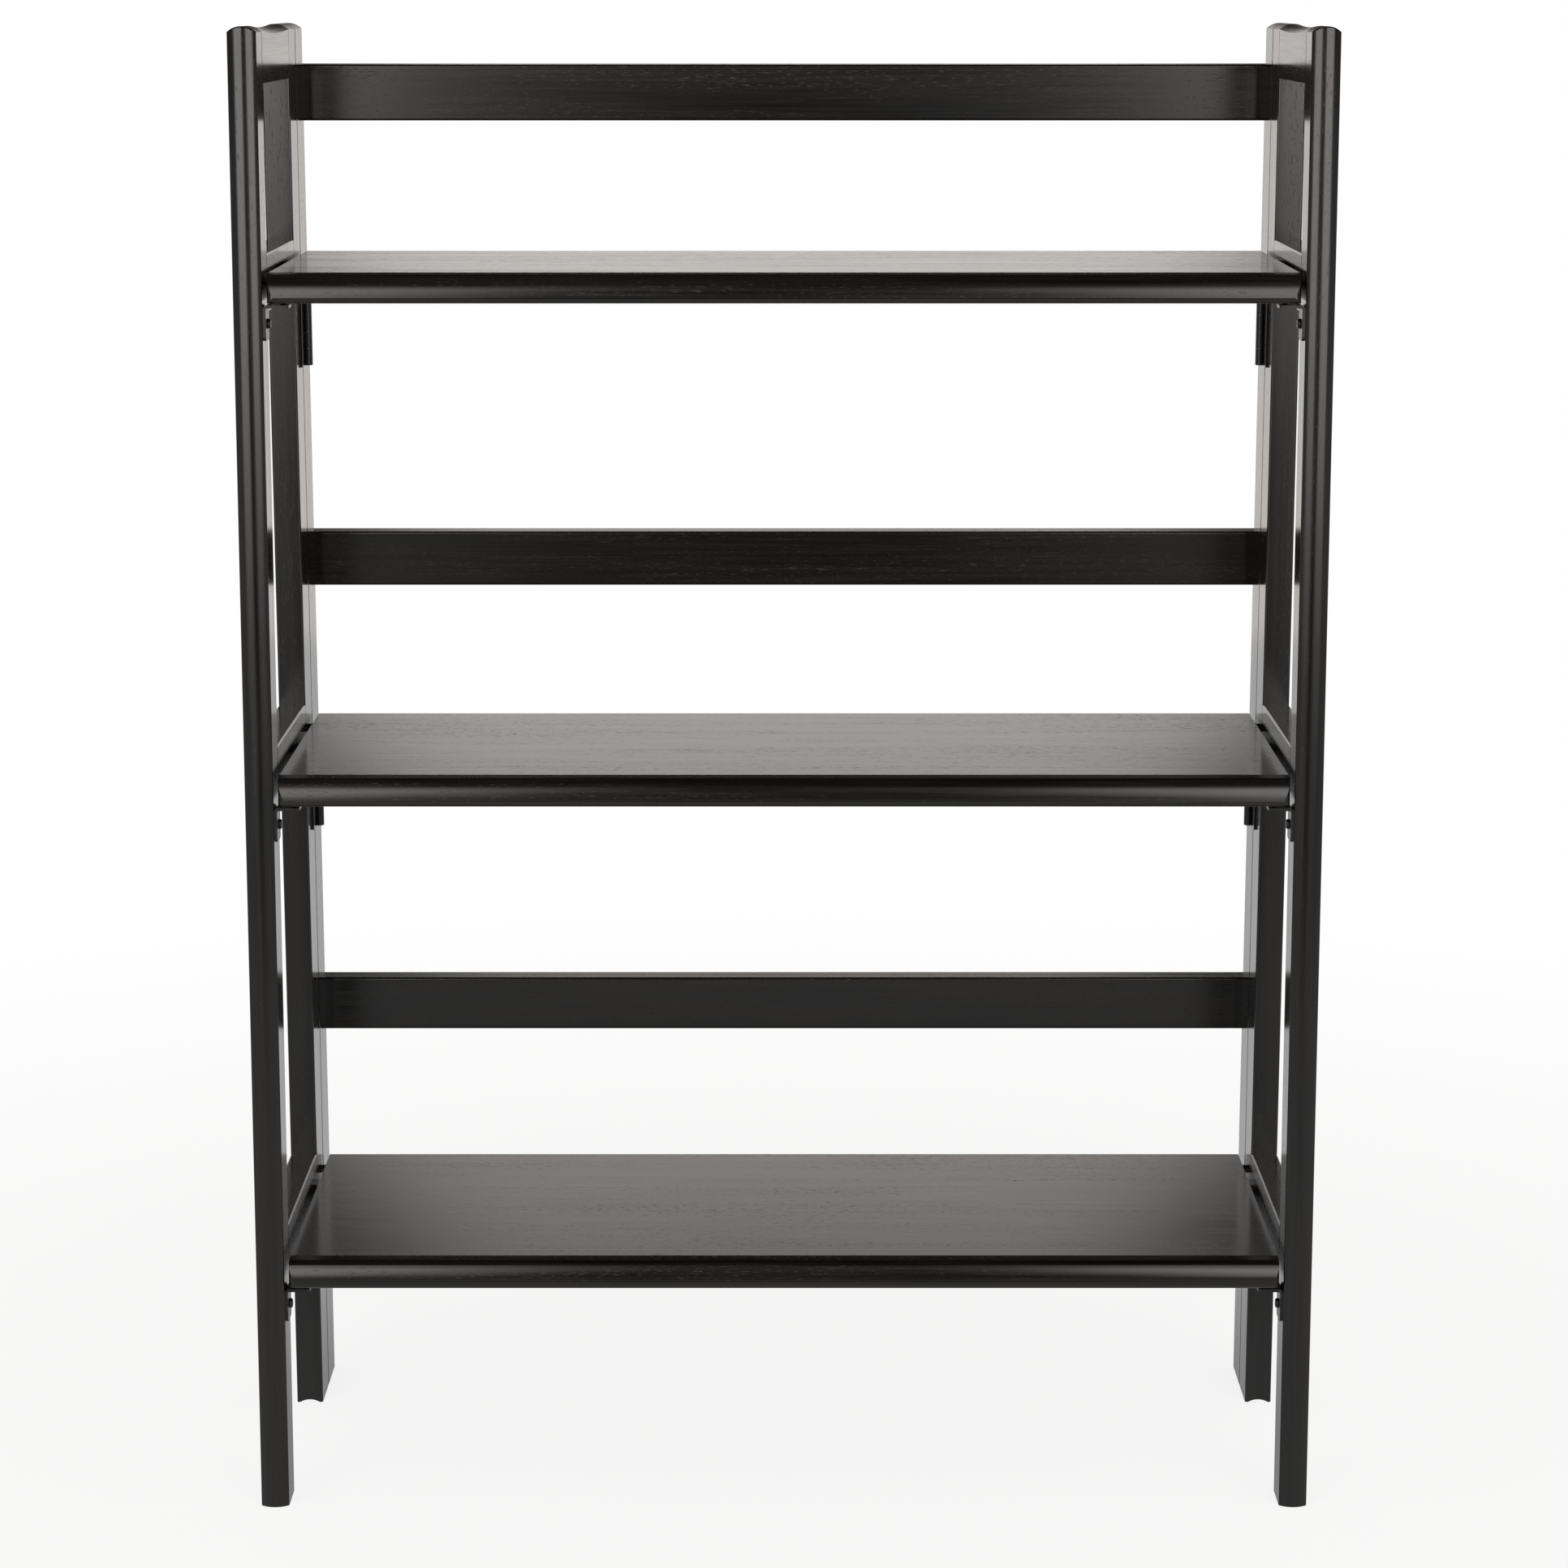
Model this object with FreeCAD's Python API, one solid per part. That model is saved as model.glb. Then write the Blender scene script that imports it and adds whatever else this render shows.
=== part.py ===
"""Folding bookcase: a leaning back frame, two hinged side frames and three shelves that fold up.

Millimetres. X runs across the bookcase, Y from front to back and Z up. The origin is on the floor, in the
middle of the width and of the depth of the feet. Depths named *_from_front are measured back from the front
face of the front posts. Every piece of the right-hand side is built once and mirrored for the left.
"""

import FreeCAD
import Part
import math
import os

from FreeCAD import Vector

# Overall size
OVERALL_WIDTH = 698.5
FOOT_DEPTH = 280.0
OVERALL_HEIGHT = 975.4

# Timber sections
FRAME_THICKNESS = 18.5
FRONT_POST_DEPTH = 32.0
REAR_POST_DEPTH = 36.5
STILE_DEPTH = 40.0
RUNG_HEIGHT = 38.0
TOP_RAIL_HEIGHT = 36.0
TOP_RAIL_SAG = 1.5
SLAT_HEIGHT = 38.0
SLAT_THICKNESS = 16.5
SHELF_THICKNESS = 18.9

# The back frame and the rear posts lean forward at the top
LEAN_DEG = 1.92

# Heights of the shelves' tops. The middle shelf is halfway between the other two
BOTTOM_SHELF_TOP = 170.5
TOP_SHELF_BELOW_TOP = 154.4

# How far the upper edges of the rungs and slats stand above their shelf's top
BOTTOM_RUNG_ABOVE_SHELF = 16.0
MIDDLE_RUNG_ABOVE_SHELF = 15.75
TOP_RUNG_ABOVE_SHELF = 11.0
BOTTOM_SLAT_ABOVE_SHELF = 130.5
MIDDLE_SLAT_ABOVE_SHELF = 128.75
TOP_SLAT_ABOVE_SHELF = 126.4

# Worked edges. The same crown runs over the tops and down the front of the front posts
EDGE_ROUND = 1.5
CROWN_RISE = 3.7
CROWN_ARRIS_ROUND = 1.0
FOOT_GROOVE_DEPTH = 2.0
FOOT_LAND = 2.2
SHELF_REAR_ROUND = 5.0
SHELF_CORNER_ROUND = 4.0

# The shelf's nose from the top down: a slight ease, a tight round, a slightly bowed face and a small lower round
NOSE_EASE_DEG = 5.5
NOSE_EASE_WIDTH = 7.3
NOSE_FACE_TURN_DEG = 31.0
NOSE_FACE_RADIUS = 23.4
NOSE_LOWER_ROUND = 3.7

# Gaps between timber pieces
FOLD_GAP = 0.5
SHELF_END_GAP = 3.1
SHELF_TO_SLAT_GAP = 1.5
SHELF_TO_STILE_FRONT = 0.7

# Mortise and tenon joints
TENON_THICKNESS = 6.5
TENON_SHOULDER = 5.0
TENON_LENGTH = 14.0
TENON_END_GAP = 0.5

# Shelf pivot pins
PIVOT_PIN_RADIUS = 3.0
PIVOT_PIN_IN_STILE = 14.0
PIVOT_PIN_IN_SHELF = 16.0
PIN_END_GAP = 0.5
RUNNING_CLEARANCE = 0.05

# Butt hinges
HINGE_LENGTH = 58.0
HINGE_BELOW_SHELF = 0.5
HINGE_AXIS_INBOARD = 3.5
KNUCKLE_COUNT = 5
KNUCKLE_GAP = 0.3
KNUCKLE_RADIUS = 3.2
HINGE_PIN_RADIUS = 1.6
LEAF_WIDTH = 17.0
LEAF_THICKNESS = 1.5
LEAF_KNUCKLE_GAP = 0.4
LEAF_CORNER_ROUND = 1.5
HINGE_SCREWS_PER_LEAF = 2

# Wood screws of the hinges, countersunk
HINGE_SCREW_RADIUS = 1.5
HINGE_SCREW_HEAD_RADIUS = 2.8
HINGE_SCREW_HEAD_DEPTH = 1.2
HINGE_SCREW_LENGTH = 13.0

# Shelf brackets
BRACKET_THICKNESS = 2.0
BRACKET_WIDTH = 17.0
BRACKET_FROM_FRONT = 4.5
BRACKET_ARM = 16.5
BRACKET_DROP = 24.0
BRACKET_BEND_RADIUS = 3.0
BRACKET_CORNER_ROUND = 2.5

# Bracket screws, pan head
BRACKET_SCREW_BELOW_SHELF = 13.5
BRACKET_SCREW_RADIUS = 1.9
BRACKET_SCREW_HEAD_RADIUS = 3.2
BRACKET_SCREW_HEAD_HEIGHT = 2.2
BRACKET_SCREW_IN_POST = 13.0

# Rest studs, riveted into the bracket arms
STUD_SHANK_RADIUS = 1.5
STUD_HEAD_RADIUS = 2.5
STUD_HEAD_HEIGHT = 1.0
STUD_FROM_TIP = 4.0
STUD_TO_SHELF_GAP = 0.3

# Cross recesses in the screw heads
RECESS_WIDTH = 0.7
RECESS_DEPTH = 0.5
RECESS_SHARE_OF_HEAD = 0.6

# Derived places
LEAN = math.tan(math.radians(LEAN_DEG))
FRONT = -FOOT_DEPTH / 2
OUTER = OVERALL_WIDTH / 2
INNER = OUTER - FRAME_THICKNESS
MIDDLE = OUTER - FRAME_THICKNESS / 2
SHELF_HALF = INNER - SHELF_END_GAP
HINGE_AXIS_X = INNER - HINGE_AXIS_INBOARD
JUNCTION_AT_FLOOR = FRONT + FOOT_DEPTH - STILE_DEPTH
PIVOT_BEHIND_JUNCTION = SHELF_TO_STILE_FRONT + SHELF_THICKNESS / 2
SLAT_BEHIND_JUNCTION = SHELF_TO_STILE_FRONT + SHELF_THICKNESS + SHELF_TO_SLAT_GAP
NOSE_EASE = math.radians(NOSE_EASE_DEG)
NOSE_FACE_TURN = math.radians(NOSE_FACE_TURN_DEG)
NOSE_FACE_HEIGHT = NOSE_FACE_RADIUS * math.sin(NOSE_FACE_TURN)
NOSE_TOP_HEIGHT = SHELF_THICKNESS - NOSE_EASE_WIDTH * math.tan(NOSE_EASE) - NOSE_FACE_HEIGHT - NOSE_LOWER_ROUND
NOSE_TOP_ROUND = NOSE_TOP_HEIGHT / (math.cos(NOSE_EASE) - math.sin(NOSE_FACE_TURN))
TOP_SHELF_TOP = OVERALL_HEIGHT - TOP_SHELF_BELOW_TOP
MIDDLE_SHELF_TOP = (BOTTOM_SHELF_TOP + TOP_SHELF_TOP) / 2

# How far cutting shapes run past what they cut, on timber and on hardware
MARGIN = 20.0
SMALL_MARGIN = 1.0

LEVELS = ("bottom", "middle", "top")
SHELF_TOPS = {"bottom": BOTTOM_SHELF_TOP, "middle": MIDDLE_SHELF_TOP, "top": TOP_SHELF_TOP}
RUNG_TOPS = {
    "bottom": BOTTOM_SHELF_TOP + BOTTOM_RUNG_ABOVE_SHELF,
    "middle": MIDDLE_SHELF_TOP + MIDDLE_RUNG_ABOVE_SHELF,
    "top": TOP_SHELF_TOP + TOP_RUNG_ABOVE_SHELF,
}
SLAT_TOPS = {
    "bottom": BOTTOM_SHELF_TOP + BOTTOM_SLAT_ABOVE_SHELF,
    "middle": MIDDLE_SHELF_TOP + MIDDLE_SLAT_ABOVE_SHELF,
    "top": TOP_SHELF_TOP + TOP_SLAT_ABOVE_SHELF,
}


def junction(z):
    """Y of the plane where the rear posts meet the stiles, at height z."""
    return JUNCTION_AT_FLOOR - LEAN * z


def rear_post_front(z):
    """Y of the rear post's front face at height z."""
    return junction(z) - FOLD_GAP - REAR_POST_DEPTH


def shelf_underside(level):
    """Height of the underside of one shelf."""
    return SHELF_TOPS[level] - SHELF_THICKNESS


def pivot_height(level):
    """Height of one shelf's pivot line."""
    return SHELF_TOPS[level] - SHELF_THICKNESS / 2


def pivot_y(level):
    """Y of one shelf's pivot line."""
    return junction(pivot_height(level)) + PIVOT_BEHIND_JUNCTION


# Solids from simple outlines


def outline_face(points, place):
    """A flat face. Each point is (a, b) for a line to it, or (a, b, via_a, via_b) for an arc to it."""
    edges = []
    last = points[-1][:2]
    for point in points:
        start, end = place(*last), place(*point[:2])
        if len(point) == 4:
            edges.append(Part.Arc(start, place(*point[2:]), end).toShape())
        elif start.distanceToPoint(end) > 1e-6:
            edges.append(Part.LineSegment(start, end).toShape())
        last = point[:2]
    return Part.Face(Part.Wire(edges))


def rounded_outline(a0, b0, a1, b1, radii):
    """Outline of a rectangle. radii are those of the corners (a0, b0), (a1, b0), (a1, b1) and (a0, b1)."""
    corners = ((a0, b0, 1, 1), (a1, b0, -1, 1), (a1, b1, -1, -1), (a0, b1, 1, -1))
    points = []
    for index, ((a, b, da, db), radius) in enumerate(zip(corners, radii)):
        along_a = (a + da * radius, b)
        along_b = (a, b + db * radius)
        first, second = (along_b, along_a) if index % 2 == 0 else (along_a, along_b)
        points.append(first)
        if radius:
            bulge = radius * (1 - math.sqrt(0.5))
            points.append((*second, a + da * bulge, b + db * bulge))
    return points


def on_xy(z):
    """Places (a, b) at X = a, Y = b on the level z."""
    return lambda a, b: Vector(a, b, z)


def on_xz(y):
    """Places (a, b) at X = a, Z = b on the plane at y."""
    return lambda a, b: Vector(a, y, b)


def on_yz(x):
    """Places (a, b) at Y = a, Z = b on the plane at x."""
    return lambda a, b: Vector(x, a, b)


def block(x0, y0, z0, x1, y1, z1):
    """A box between two corners."""
    return Part.makeBox(x1 - x0, y1 - y0, z1 - z0, Vector(x0, y0, z0))


def rod(radius, start, end):
    """A round rod from start to end."""
    direction = end - start
    return Part.makeCylinder(radius, direction.Length, start, direction)


def leaned(shape):
    """Turns a shape that was built upright with the junction plane at JUNCTION_AT_FLOOR into its lean."""
    turned = shape.copy()
    turned.rotate(Vector(0, JUNCTION_AT_FLOOR, 0), Vector(1, 0, 0), LEAN_DEG)
    return turned


def up_the_lean(behind_junction, z):
    """Length up the lean of the point at height z, that far behind the junction plane."""
    angle = math.radians(LEAN_DEG)
    return (z - behind_junction * math.sin(angle)) / math.cos(angle)


def mirrored(shape):
    """The left-hand copy of a right-hand shape."""
    return shape.mirror(Vector(0, 0, 0), Vector(1, 0, 0))


def crown_outline(top, bottom):
    """Section of the frame timber whose top is crowned, from bottom to top."""
    spring = top - CROWN_RISE
    return [(INNER, bottom), (OUTER, bottom), (OUTER, spring), (INNER, spring, MIDDLE, top)]


def crowned(shape):
    """Trims a post to the overall height, with a crown across its top."""
    face = outline_face(crown_outline(OVERALL_HEIGHT, -MARGIN), on_xz(FRONT - MARGIN))
    return shape.common(face.extrude(Vector(0, FOOT_DEPTH + 2 * MARGIN, 0)))


def grooved(shape):
    """Cuts the shallow groove along the bottom of a leg, between two narrow lands."""
    half = FRAME_THICKNESS / 2 - FOOT_LAND
    points = [
        (MIDDLE - half, -MARGIN),
        (MIDDLE + half, -MARGIN),
        (MIDDLE + half, 0),
        (MIDDLE - half, 0, MIDDLE, FOOT_GROOVE_DEPTH),
    ]
    face = outline_face(points, on_xz(FRONT - MARGIN))
    return shape.cut(face.extrude(Vector(0, FOOT_DEPTH + 2 * MARGIN, 0)))


# Wood screws


def cross_recess(center, head_radius):
    """The cross-shaped recess of a screw head whose outer face is at center and looks towards -X."""
    half_span, half_width = head_radius * RECESS_SHARE_OF_HEAD, RECESS_WIDTH / 2
    x0, x1 = center.x - SMALL_MARGIN, center.x + RECESS_DEPTH
    y, z = center.y, center.z
    tall = block(x0, y - half_width, z - half_span, x1, y + half_width, z + half_span)
    wide = block(x0, y - half_span, z - half_width, x1, y + half_span, z + half_width)
    return tall.fuse(wide)


def hinge_screw_blank(center):
    """A countersunk screw driven towards +X from the leaf's face at center, before its recess is cut."""
    neck = center + Vector(HINGE_SCREW_HEAD_DEPTH, 0, 0)
    head = Part.makeCone(
        HINGE_SCREW_HEAD_RADIUS, HINGE_SCREW_RADIUS, HINGE_SCREW_HEAD_DEPTH, center, Vector(1, 0, 0)
    )
    shank = rod(HINGE_SCREW_RADIUS, neck, center + Vector(HINGE_SCREW_LENGTH, 0, 0))
    return head.fuse(shank).removeSplitter()


def hinge_screw(center):
    """A finished hinge screw."""
    return hinge_screw_blank(center).cut(cross_recess(center, HINGE_SCREW_HEAD_RADIUS))


def bracket_screw(level):
    """The pan-head screw of one bracket, driven towards +X into the front post."""
    seat = bracket_screw_seat(level)
    head = rod(BRACKET_SCREW_HEAD_RADIUS, seat - Vector(BRACKET_SCREW_HEAD_HEIGHT, 0, 0), seat)
    rim = max(head.Edges, key=lambda edge: -edge.BoundBox.XMax)
    head = head.makeFillet(BRACKET_SCREW_HEAD_HEIGHT / 2, [rim])
    face = seat - Vector(BRACKET_SCREW_HEAD_HEIGHT, 0, 0)
    blank = head.fuse(bracket_screw_shank(level)).removeSplitter()
    return blank.cut(cross_recess(face, BRACKET_SCREW_HEAD_RADIUS))


def bracket_screw_seat(level):
    """Centre of the bracket's face under the screw head."""
    y = FRONT + BRACKET_FROM_FRONT + BRACKET_WIDTH / 2
    return Vector(INNER - BRACKET_THICKNESS, y, shelf_underside(level) - BRACKET_SCREW_BELOW_SHELF)


def bracket_screw_shank(level):
    """Shank of one bracket screw, from the head to its end in the post."""
    seat = bracket_screw_seat(level)
    return rod(BRACKET_SCREW_RADIUS, seat, seat + Vector(BRACKET_THICKNESS + BRACKET_SCREW_IN_POST, 0, 0))


# Butt hinges, built upright and then leaned


def on_hinge_axis(z):
    """The point of the hinge axis at length z up the lean, before it is leaned."""
    return Vector(HINGE_AXIS_X, JUNCTION_AT_FLOOR, z)


def hinge_foot(level):
    """Length up the lean of one hinge's lower end."""
    return up_the_lean(0, shelf_underside(level) - HINGE_BELOW_SHELF) - HINGE_LENGTH


def knuckle_span(index, level):
    """Lower and upper end of one knuckle, up the lean."""
    pitch = (HINGE_LENGTH + KNUCKLE_GAP) / KNUCKLE_COUNT
    start = hinge_foot(level) + index * pitch
    return start, start + pitch - KNUCKLE_GAP


def leaf_screw_centers(level, side):
    """Centres of the screw heads on one leaf. side is 1 on the stile and -1 on the rear post."""
    y = JUNCTION_AT_FLOOR + side * (KNUCKLE_RADIUS + LEAF_WIDTH) / 2
    step = HINGE_LENGTH / HINGE_SCREWS_PER_LEAF
    heights = [hinge_foot(level) + step * (index + 0.5) for index in range(HINGE_SCREWS_PER_LEAF)]
    return [Vector(INNER - LEAF_THICKNESS, y, z) for z in heights]


def hinge_leaf(level, side):
    """One leaf with its knuckles. side is 1 for the stile's leaf and -1 for the rear post's."""
    foot = hinge_foot(level)
    own = range(0 if side > 0 else 1, KNUCKLE_COUNT, 2)
    near = KNUCKLE_RADIUS + LEAF_KNUCKLE_GAP
    y0, y1 = sorted((JUNCTION_AT_FLOOR + side * near, JUNCTION_AT_FLOOR + side * LEAF_WIDTH))
    outer = LEAF_CORNER_ROUND
    radii = (0, outer, outer, 0) if side > 0 else (outer, 0, 0, outer)
    outline = rounded_outline(y0, foot, y1, foot + HINGE_LENGTH, radii)
    leaf = outline_face(outline, on_yz(INNER - LEAF_THICKNESS)).extrude(Vector(LEAF_THICKNESS, 0, 0))
    for index in own:
        low, high = knuckle_span(index, level)
        barrel = rod(KNUCKLE_RADIUS, on_hinge_axis(low), on_hinge_axis(high))
        tab_y = sorted((JUNCTION_AT_FLOOR, JUNCTION_AT_FLOOR + side * near))
        tab = block(INNER - LEAF_THICKNESS, tab_y[0], low, INNER, tab_y[1], high)
        reach = block(HINGE_AXIS_X, tab_y[0], low, INNER, tab_y[1], high)
        leaf = leaf.fuse([barrel, tab.common(reach)])
    bore = HINGE_PIN_RADIUS + (0 if side > 0 else RUNNING_CLEARANCE)
    leaf = leaf.removeSplitter().cut(hinge_pin_rod(level, bore, MARGIN))
    for center in leaf_screw_centers(level, side):
        leaf = leaf.cut(hinge_screw_blank(center))
    return leaned(leaf)


def hinge_pin_rod(level, radius, beyond=0.0):
    """A rod on one hinge's axis that runs beyond both of its ends."""
    foot = hinge_foot(level)
    return rod(radius, on_hinge_axis(foot - beyond), on_hinge_axis(foot + HINGE_LENGTH + beyond))


def hinge_pin(level):
    """One hinge pin."""
    return leaned(hinge_pin_rod(level, HINGE_PIN_RADIUS))


def leaf_screws(level, side):
    """The screws of one leaf."""
    return [leaned(hinge_screw(center)) for center in leaf_screw_centers(level, side)]


def leaf_pilot_holes(side):
    """The holes that every hinge screw on one side of the junction makes in the timber."""
    return [
        leaned(hinge_screw_blank(center)) for level in LEVELS for center in leaf_screw_centers(level, side)
    ]


# Side frame


def leaning_post(front_at_floor, depth):
    """A leaning post of constant level section, longer than the finished post at both ends."""
    shift = LEAN * MARGIN
    radii = (EDGE_ROUND,) * 4
    outline = rounded_outline(INNER, front_at_floor + shift, OUTER, front_at_floor + shift + depth, radii)
    length = OVERALL_HEIGHT + 2 * MARGIN
    post = outline_face(outline, on_xy(-MARGIN)).extrude(Vector(0, -LEAN * length, length))
    floor = block(-OUTER - MARGIN, FRONT - MARGIN, -2 * MARGIN, OUTER + MARGIN, -FRONT + MARGIN, 0)
    return post.cut(floor)


def tenon(y0, y1, z0, z1):
    """The block of a tenon, centred in the frame's thickness."""
    half = TENON_THICKNESS / 2
    return block(MIDDLE - half, y0, z0 + TENON_SHOULDER, MIDDLE + half, y1, z1 - TENON_SHOULDER)


def cross_member(z0, z1):
    """Side outline of a member between the front post and the leaning rear post, 2 shoulders included."""
    y0 = FRONT + FRONT_POST_DEPTH
    points = [(y0, z0), (rear_post_front(z0), z0), (rear_post_front(z1), z1), (y0, z1)]
    return outline_face(points, on_yz(INNER - MARGIN)).extrude(Vector(FRAME_THICKNESS + 2 * MARGIN, 0, 0))


def member_tenons(z0, z1, end_gap=0.0):
    """The 2 tenons of a member, or with end_gap the mortises that take them."""
    y0 = FRONT + FRONT_POST_DEPTH
    y1 = rear_post_front(z1)
    front = tenon(y0 - TENON_LENGTH - end_gap, y0 + SMALL_MARGIN, z0, z1)
    rear = tenon(y1 - SMALL_MARGIN, y1 + TENON_LENGTH + end_gap, z0, z1)
    return front, rear


def rung(level):
    """One rung of the side frame."""
    z1 = RUNG_TOPS[level]
    z0 = z1 - RUNG_HEIGHT
    outline = rounded_outline(INNER, z0, OUTER, z1, (EDGE_ROUND,) * 4)
    bar = outline_face(outline, on_xz(FRONT)).extrude(Vector(0, FOOT_DEPTH, 0))
    return bar.common(cross_member(z0, z1)).fuse(list(member_tenons(z0, z1))).removeSplitter()


def top_rail():
    """The crowned top rail, which sags a little between the posts."""
    z1 = OVERALL_HEIGHT
    z0 = z1 - TOP_RAIL_HEIGHT
    y0 = FRONT + FRONT_POST_DEPTH
    y1 = rear_post_front(z1)
    half = (y1 - y0) / 2
    radius = (half**2 + TOP_RAIL_SAG**2) / (2 * TOP_RAIL_SAG)
    face = outline_face(crown_outline(z1 - TOP_RAIL_SAG, z0 - MARGIN), on_xz((y0 + y1) / 2))
    axis_point = Vector(0, (y0 + y1) / 2, z1 - TOP_RAIL_SAG + radius)
    spread = math.degrees(math.asin((half + MARGIN / 2) / radius))
    face.rotate(axis_point, Vector(1, 0, 0), -spread)
    bar = face.revolve(axis_point, Vector(1, 0, 0), 2 * spread)
    rail = bar.common(cross_member(z0, z1 + MARGIN))
    return rail.fuse(list(member_tenons(z0, z1 - TOP_RAIL_SAG - CROWN_RISE))).removeSplitter()


def side_mortises():
    """Every mortise of the side frame, as one list."""
    cuts = []
    for level in LEVELS:
        cuts += member_tenons(RUNG_TOPS[level] - RUNG_HEIGHT, RUNG_TOPS[level], TENON_END_GAP)
    rail_bottom = OVERALL_HEIGHT - TOP_RAIL_HEIGHT
    cuts += member_tenons(rail_bottom, OVERALL_HEIGHT - TOP_RAIL_SAG - CROWN_RISE, TENON_END_GAP)
    return cuts


def front_post():
    """The upright front post, crowned across its top and down its front."""
    arris = FRONT + CROWN_RISE
    back = FRONT + FRONT_POST_DEPTH
    bulge = EDGE_ROUND * (1 - math.sqrt(0.5))
    points = [
        (INNER, arris),
        (OUTER, arris, MIDDLE, FRONT),
        (OUTER, back - EDGE_ROUND),
        (OUTER - EDGE_ROUND, back, OUTER - bulge, back - bulge),
        (INNER + EDGE_ROUND, back),
        (INNER, back - EDGE_ROUND, INNER + bulge, back - bulge),
    ]
    post = crowned(outline_face(points, on_xy(0)).extrude(Vector(0, 0, OVERALL_HEIGHT)))
    far = arris + SMALL_MARGIN
    rim = [edge for edge in post.Edges if edge.BoundBox.YMax < far and edge.BoundBox.ZMax > SMALL_MARGIN]
    post = post.makeFillet(CROWN_ARRIS_ROUND, rim)
    return post.cut(side_mortises() + [bracket_screw_shank(level) for level in LEVELS])


def rear_post():
    """The leaning rear post of the side frame."""
    post = leaning_post(rear_post_front(0), REAR_POST_DEPTH)
    return grooved(crowned(post)).cut(side_mortises() + leaf_pilot_holes(-1))


def bracket(level):
    """The bent steel bracket under one end of a shelf."""
    top = shelf_underside(level) - STUD_TO_SHELF_GAP - STUD_HEAD_HEIGHT
    bottom = shelf_underside(level) - BRACKET_DROP
    tip = INNER - BRACKET_ARM
    outer, inner = BRACKET_BEND_RADIUS, BRACKET_BEND_RADIUS - BRACKET_THICKNESS
    diagonal = math.sqrt(0.5)
    bend = (INNER - outer, top - outer)
    points = [
        (tip, top),
        (INNER - outer, top),
        (INNER, top - outer, bend[0] + outer * diagonal, bend[1] + outer * diagonal),
        (INNER, bottom),
        (INNER - BRACKET_THICKNESS, bottom),
        (INNER - BRACKET_THICKNESS, top - outer),
        (INNER - outer, top - BRACKET_THICKNESS, bend[0] + inner * diagonal, bend[1] + inner * diagonal),
        (tip, top - BRACKET_THICKNESS),
    ]
    y0 = FRONT + BRACKET_FROM_FRONT
    strip = outline_face(points, on_xz(y0)).extrude(Vector(0, BRACKET_WIDTH, 0))
    corner = BRACKET_CORNER_ROUND
    past = SMALL_MARGIN
    plan = rounded_outline(tip, y0, INNER + past, y0 + BRACKET_WIDTH, (corner, 0, 0, corner))
    strip = strip.common(outline_face(plan, on_xy(bottom)).extrude(Vector(0, 0, BRACKET_DROP)))
    side = rounded_outline(y0, bottom, y0 + BRACKET_WIDTH, top + past, (corner, corner, 0, 0))
    strip = strip.common(outline_face(side, on_yz(tip)).extrude(Vector(BRACKET_ARM + past, 0, 0)))
    return strip.cut([bracket_screw_shank(level), stud_shank(level)])


def stud_foot(level):
    """Centre of the lower end of one rest stud, flush with the underside of the bracket's arm."""
    z = shelf_underside(level) - STUD_TO_SHELF_GAP - STUD_HEAD_HEIGHT - BRACKET_THICKNESS
    y = FRONT + BRACKET_FROM_FRONT + BRACKET_WIDTH / 2
    return Vector(INNER - BRACKET_ARM + STUD_FROM_TIP, y, z)


def stud_shank(level):
    """The part of one rest stud that sits in the bracket's arm."""
    return rod(STUD_SHANK_RADIUS, stud_foot(level), stud_foot(level) + Vector(0, 0, BRACKET_THICKNESS))


def rest_stud(level):
    """One domed rest stud."""
    seat = stud_foot(level) + Vector(0, 0, BRACKET_THICKNESS)
    radius = (STUD_HEAD_RADIUS**2 + STUD_HEAD_HEIGHT**2) / (2 * STUD_HEAD_HEIGHT)
    ball = Part.makeSphere(radius, seat + Vector(0, 0, STUD_HEAD_HEIGHT - radius))
    slab = rod(STUD_HEAD_RADIUS + SMALL_MARGIN, seat, seat + Vector(0, 0, STUD_HEAD_HEIGHT + SMALL_MARGIN))
    return ball.common(slab).fuse(stud_shank(level)).removeSplitter()


# Back frame


def slat_place(level):
    """Front and lower edge of one slat, behind the junction plane and up the lean."""
    top = up_the_lean(SLAT_BEHIND_JUNCTION, SLAT_TOPS[level])
    return JUNCTION_AT_FLOOR + SLAT_BEHIND_JUNCTION, top - SLAT_HEIGHT


def slat_tenons(level, end_gap=0.0):
    """The tenons at both ends of a slat, or with end_gap the mortises that take them."""
    y0, z0 = slat_place(level)
    inset = (SLAT_THICKNESS - TENON_THICKNESS) / 2
    y = (y0 + inset, y0 + inset + TENON_THICKNESS)
    z = (z0 + TENON_SHOULDER, z0 + SLAT_HEIGHT - TENON_SHOULDER)
    reach = INNER + TENON_LENGTH + end_gap
    return leaned(block(-reach, y[0], z[0], reach, y[1], z[1]))


def slat(level):
    """One slat of the back frame."""
    y0, z0 = slat_place(level)
    outline = rounded_outline(y0, z0, y0 + SLAT_THICKNESS, z0 + SLAT_HEIGHT, (EDGE_ROUND,) * 4)
    bar = leaned(outline_face(outline, on_yz(-INNER)).extrude(Vector(2 * INNER, 0, 0)))
    return bar.fuse(slat_tenons(level)).removeSplitter()


def pivot_pin(level):
    """The right-hand pivot pin of one shelf, pressed into the stile."""
    y, z = pivot_y(level), pivot_height(level)
    inner_end = Vector(SHELF_HALF - PIVOT_PIN_IN_SHELF, y, z)
    return rod(PIVOT_PIN_RADIUS, inner_end, Vector(INNER + PIVOT_PIN_IN_STILE, y, z))


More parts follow.
